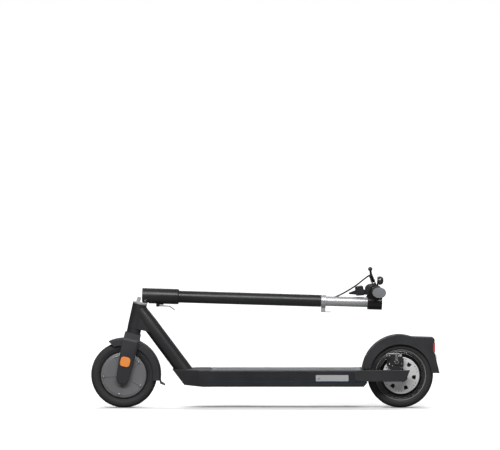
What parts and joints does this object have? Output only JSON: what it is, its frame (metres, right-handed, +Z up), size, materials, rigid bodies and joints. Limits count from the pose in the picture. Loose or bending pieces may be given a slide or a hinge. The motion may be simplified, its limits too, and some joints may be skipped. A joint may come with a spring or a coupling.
{
  "type": "electric kick scooter",
  "caption": "Folding electric kick scooter, folded: hub motor front wheel, deck with battery, disc brake at the rear, stem laid back over the deck.",
  "frame": {"origin": "on the floor, in the middle of the folded scooter's length and width", "axes": "-X forward, +Y to the rider's right, +Z up"},
  "size_m": [1.141, 0.43, 0.4655],
  "materials": {
    "frame_paint": "satin dark grey powder coat",
    "stem_paint": "satin dark grey powder coat",
    "deck_paint": "fine textured dark grey coat",
    "silver_metal": "satin anodised",
    "bare_metal": "machined",
    "steel": "brushed",
    "black_metal": "satin black",
    "black_plastic": "fine moulded grain",
    "grey_plastic": "satin moulded",
    "grip_rubber": "soft, ribbed",
    "mat_rubber": "ribbed",
    "tyre_rubber": "matt rubber",
    "orange_reflector": "prismatic",
    "red_lens": "clear red",
    "clear_lens": "clear",
    "led_lens": "smoked blue",
    "badge_plate": "satin",
    "display_face": "gloss black",
    "battery_wrap": "shrink wrap",
    "motor_core": "laminated steel and copper",
    "brake_pad": "sintered",
    "cable_jacket": "smooth jacket"
  },
  "bodies": {
    "frame": {"frame_neck": "frame_paint", "head_bearings": "steel", "deck_nose": "deck_paint", "deck_chassis": "deck_paint", "bottom_cover": "black_plastic", "cover_screws": "steel", "deck_mat": "mat_rubber", "led_strips": "led_lens", "side_badges": "badge_plate", "battery_pack": "battery_wrap", "controller": "bare_metal", "charge_port": "black_plastic", "kickstand_bracket": "black_metal", "rear_dropouts": "deck_paint", "arm_covers": "grey_plastic", "rear_axle": "steel", "rear_mudguard": "grey_plastic", "tail_light": "red_lens", "brake_caliper": "black_metal", "rear_brake_cable": "cable_jacket"},
    "charge_cap": {"charge_cap": "grip_rubber"},
    "kickstand": {"kickstand": "black_metal"},
    "caliper_arm": {"caliper_arm": "steel"},
    "moving_pad": {"moving_pad": "brake_pad"},
    "rear_wheel": {"rear_rim": "bare_metal", "rear_bearings": "steel", "rear_tyre": "tyre_rubber", "brake_rotor": "steel"},
    "steering": {"fork": "frame_paint", "fork_covers": "grey_plastic", "fork_reflectors": "orange_reflector", "front_mudguard": "grey_plastic", "fold_base": "silver_metal", "hinge_pin": "steel", "motor_stator": "motor_core"},
    "front_wheel": {"front_rim": "black_metal", "front_tyre": "tyre_rubber", "motor_magnets": "steel", "motor_covers": "grey_plastic"},
    "stem": {"stem_housing": "stem_paint", "stem_tube": "stem_paint", "stem_collar": "silver_metal", "bag_hook": "silver_metal", "upper_tube": "silver_metal", "bar_clamp": "black_metal", "display": "display_face", "latch_mount": "black_metal", "handlebar": "black_metal", "grips": "grip_rubber", "brake_perch": "black_metal", "brake_cable": "cable_jacket", "bell": "black_metal", "throttle_body": "black_plastic", "headlight": "black_plastic", "headlight_lens": "clear_lens"},
    "latch_lever": {"latch_lever": "silver_metal"},
    "power_button": {"power_button": "grey_plastic"},
    "brake_lever": {"brake_lever": "black_metal"},
    "bell_striker": {"bell_striker": "steel"},
    "throttle_lever": {"throttle_lever": "black_plastic"}
  },
  "joints": [
    {"name": "steering", "type": "hinge", "parent": "frame", "child": "steering", "pos_m": [-0.42851, 0, 0.26005], "axis": [0.2181, 0, 0.9759], "range_deg": [-60, 60]},
    {"name": "stem_fold", "type": "hinge", "parent": "steering", "child": "stem", "pos_m": [-0.39258, 0, 0.35202], "axis": [0, -1, 0], "range_deg": [0, 79.1]},
    {"name": "front_wheel_spin", "type": "hinge", "parent": "steering", "child": "front_wheel", "pos_m": [-0.4625, 0, 0.108], "axis": [0, 1, 0], "continuous": true},
    {"name": "rear_wheel_spin", "type": "hinge", "parent": "frame", "child": "rear_wheel", "pos_m": [0.4435, 0, 0.108], "axis": [0, 1, 0], "continuous": true},
    {"name": "fold_latch", "type": "hinge", "parent": "stem", "child": "latch_lever", "pos_m": [-0.35208, 0, 0.33482], "axis": [0, 1, 0], "range_deg": [0, 60], "stiffness_Nm_per_rad": 0.05, "springref_deg": -20.05},
    {"name": "brake_lever", "type": "hinge", "parent": "stem", "child": "brake_lever", "pos_m": [0.34874, -0.082, 0.41899], "axis": [0.9403, 0, 0.3404], "range_deg": [0, 22], "stiffness_Nm_per_rad": 0.2, "springref_deg": -20.05},
    {"name": "caliper_arm", "type": "hinge", "parent": "frame", "child": "caliper_arm", "pos_m": [0.4285, -0.053, 0.152], "axis": [0, -1, 0], "range_deg": [0, 20]},
    {"name": "pad_slide", "type": "slide", "parent": "frame", "child": "moving_pad", "axis": [0, 1, 0], "range_m": [0, 0.0004]},
    {"name": "throttle", "type": "hinge", "parent": "stem", "child": "throttle_lever", "pos_m": [0.36168, 0.0924, 0.38326], "axis": [0, 1, 0], "range_deg": [0, 25], "stiffness_Nm_per_rad": 0.08, "springref_deg": -22.92},
    {"name": "power_button", "type": "slide", "parent": "stem", "child": "power_button", "axis": [-0.9996, 0, 0.0297], "range_m": [0, 0.0012], "stiffness_N_per_m": 300, "springref_m": -0.0008},
    {"name": "bell_striker", "type": "hinge", "parent": "stem", "child": "bell_striker", "pos_m": [0.37048, -0.036, 0.41021], "axis": [0.9996, 0, -0.0297], "range_deg": [0, 25], "stiffness_Nm_per_rad": 0.02, "springref_deg": -17.19},
    {"name": "kickstand", "type": "hinge", "parent": "frame", "child": "kickstand", "pos_m": [-0.1225, 0.088, 0.098], "axis": [0, 0.9439, 0.3304], "range_deg": [0, 98]},
    {"name": "charge_cap", "type": "hinge", "parent": "frame", "child": "charge_cap", "pos_m": [0.0175, 0.07805, 0.118], "axis": [1, 0, 0], "range_deg": [0, 100]}
  ],
  "couplings": [
    {"joint": "caliper_arm", "follows": "brake_lever", "ratio": 0.90908},
    {"joint": "pad_slide", "follows": "brake_lever", "m_per_rad": 0.001041}
  ]
}
